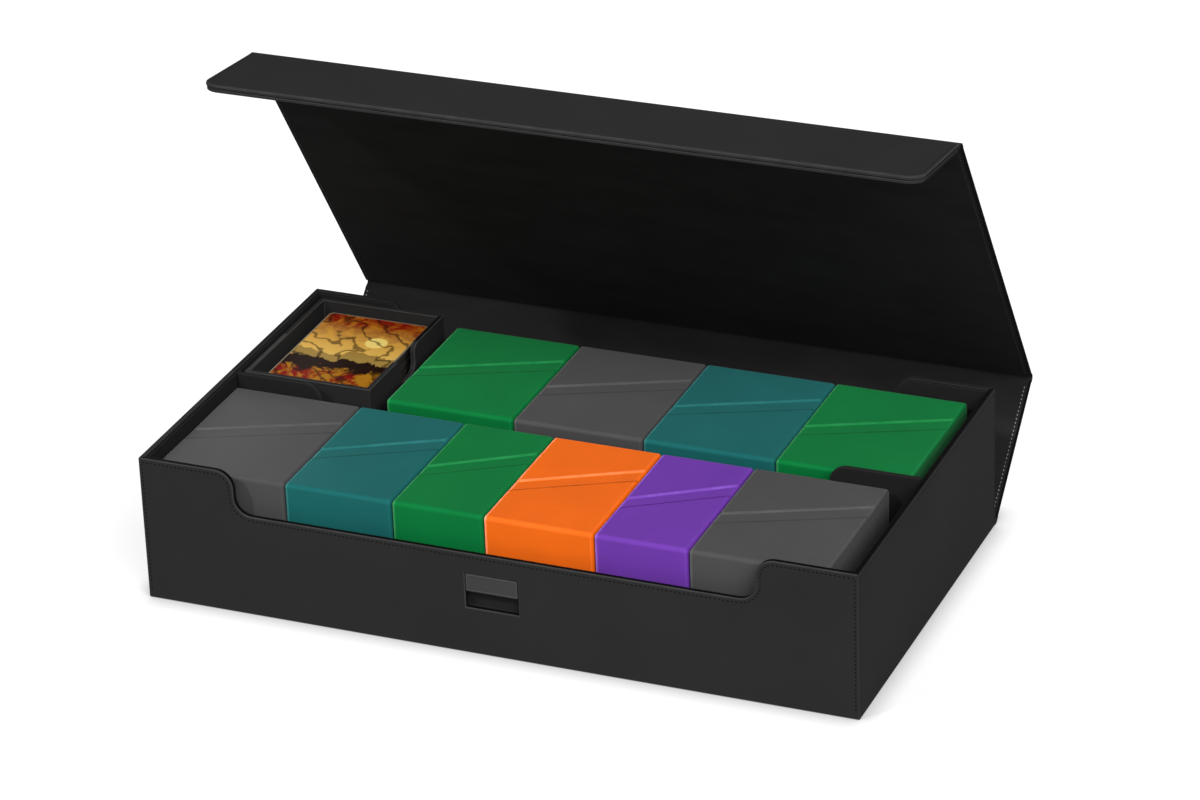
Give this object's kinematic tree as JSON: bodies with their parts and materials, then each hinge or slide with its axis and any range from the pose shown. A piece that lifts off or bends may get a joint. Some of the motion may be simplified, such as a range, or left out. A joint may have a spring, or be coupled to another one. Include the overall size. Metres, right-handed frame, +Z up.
{
  "type": "trading card storage case",
  "caption": "Flip-lid storage case for trading cards with a folding cover and front flap, a lift-out card tray and two rows of closed deck cases.",
  "frame": {"origin": "centre of the case's underside, on the surface that it stands on", "axes": "+Z up, +X along the case's long side, to the right seen from the front; the front wall faces -Y"},
  "size_m": [0.44, 0.3151, 0.2816],
  "materials": {
    "outer_leatherette": "fine-grained black leatherette over board, satin",
    "inner_leatherette": "fine-grained black leatherette over thin board, matte",
    "microfibre": "short-nap black microfibre",
    "tab": "smooth grey leatherette tab",
    "steel": "plated, hidden",
    "card_edges": "stacked edges of sleeved cards",
    "card_face": "sleeved printed card, gold and red abstract pattern",
    "deck_grey": "fine matte",
    "deck_teal": "fine matte",
    "deck_green": "fine matte",
    "deck_orange": "fine matte",
    "deck_purple": "fine matte"
  },
  "bodies": {
    "case": {"base_board": "outer_leatherette", "front_wall": "outer_leatherette", "back_wall": "outer_leatherette", "left_wall": "outer_leatherette", "right_wall": "outer_leatherette", "floor_board": "inner_leatherette", "floor_lining": "microfibre", "front_lining": "microfibre", "back_lining": "microfibre", "left_lining": "microfibre", "right_lining": "microfibre", "keeper_left": "steel", "keeper_right": "steel", "window_pocket": "inner_leatherette", "row_divider": "inner_leatherette", "base_hinge_strip": "outer_leatherette"},
    "spine": {"spine_board": "outer_leatherette", "spine_lining": "microfibre", "lid_hinge_strip": "outer_leatherette"},
    "lid": {"lid_board": "outer_leatherette", "lid_lining": "microfibre", "flap_hinge_strip": "outer_leatherette"},
    "flap": {"flap_board": "outer_leatherette", "flap_facing": "outer_leatherette", "magnet_left": "steel", "magnet_right": "steel"},
    "pull_tab": {"pull_tab": "tab"},
    "card_tray": {"tray_floor": "inner_leatherette", "tray_front": "inner_leatherette", "tray_back": "inner_leatherette", "tray_left": "inner_leatherette", "tray_right": "inner_leatherette"},
    "cards": {"card_stack": "card_edges", "top_card": "card_face"},
    "deck_front1": {"deck_front1_base": "deck_grey", "deck_front1_lid": "deck_grey"},
    "deck_front2": {"deck_front2_base": "deck_teal", "deck_front2_lid": "deck_teal"},
    "deck_front3": {"deck_front3_base": "deck_green", "deck_front3_lid": "deck_green"},
    "deck_front4": {"deck_front4_base": "deck_orange", "deck_front4_lid": "deck_orange"},
    "deck_front5": {"deck_front5_base": "deck_purple", "deck_front5_lid": "deck_purple"},
    "deck_front6": {"deck_front6_base": "deck_grey", "deck_front6_lid": "deck_grey"},
    "deck_back1": {"deck_back1_base": "deck_green", "deck_back1_lid": "deck_green"},
    "deck_back2": {"deck_back2_base": "deck_grey", "deck_back2_lid": "deck_grey"},
    "deck_back3": {"deck_back3_base": "deck_teal", "deck_back3_lid": "deck_teal"},
    "deck_back4": {"deck_back4_base": "deck_green", "deck_back4_lid": "deck_green"}
  },
  "joints": [
    {"name": "spine_hinge", "type": "hinge", "parent": "case", "child": "spine", "pos_m": [0, 0.1248, 0], "axis": [-1, 0, 0], "range_deg": [-47.6, 42.4], "deforming": ["base_hinge_strip"]},
    {"name": "lid_hinge", "type": "hinge", "parent": "spine", "child": "lid", "pos_m": [0, 0.19517, 0.06426], "axis": [-1, 0, 0], "range_deg": [-9.3, 80.7], "deforming": ["lid_hinge_strip"]},
    {"name": "flap_hinge", "type": "hinge", "parent": "lid", "child": "flap", "pos_m": [0, 0.05821, 0.27436], "axis": [-1, 0, 0], "range_deg": [-39, 51], "deforming": ["flap_hinge_strip"]},
    {"name": "tab_hinge", "type": "hinge", "parent": "case", "child": "pull_tab", "pos_m": [0, -0.1202, 0.0503], "axis": [-1, 0, 0], "range_deg": [0, 70]},
    {"name": "tray_lift", "type": "slide", "parent": "case", "child": "card_tray", "axis": [0, 0, 1], "range_m": [0, 0.084]},
    {"name": "cards_lift", "type": "slide", "parent": "card_tray", "child": "cards", "axis": [0, 0, 1], "range_m": [0, 0.085]},
    {"name": "deck_front1_lift", "type": "slide", "parent": "case", "child": "deck_front1", "axis": [0, 0, 1], "range_m": [0, 0.1]},
    {"name": "deck_front2_lift", "type": "slide", "parent": "case", "child": "deck_front2", "axis": [0, 0, 1], "range_m": [0, 0.1]},
    {"name": "deck_front3_lift", "type": "slide", "parent": "case", "child": "deck_front3", "axis": [0, 0, 1], "range_m": [0, 0.1]},
    {"name": "deck_front4_lift", "type": "slide", "parent": "case", "child": "deck_front4", "axis": [0, 0, 1], "range_m": [0, 0.1]},
    {"name": "deck_front5_lift", "type": "slide", "parent": "case", "child": "deck_front5", "axis": [0, 0, 1], "range_m": [0, 0.1]},
    {"name": "deck_front6_lift", "type": "slide", "parent": "case", "child": "deck_front6", "axis": [0, 0, 1], "range_m": [0, 0.1]},
    {"name": "deck_back1_lift", "type": "slide", "parent": "case", "child": "deck_back1", "axis": [0, 0, 1], "range_m": [0, 0.09]},
    {"name": "deck_back2_lift", "type": "slide", "parent": "case", "child": "deck_back2", "axis": [0, 0, 1], "range_m": [0, 0.09]},
    {"name": "deck_back3_lift", "type": "slide", "parent": "case", "child": "deck_back3", "axis": [0, 0, 1], "range_m": [0, 0.09]},
    {"name": "deck_back4_lift", "type": "slide", "parent": "case", "child": "deck_back4", "axis": [0, 0, 1], "range_m": [0, 0.09]}
  ]
}
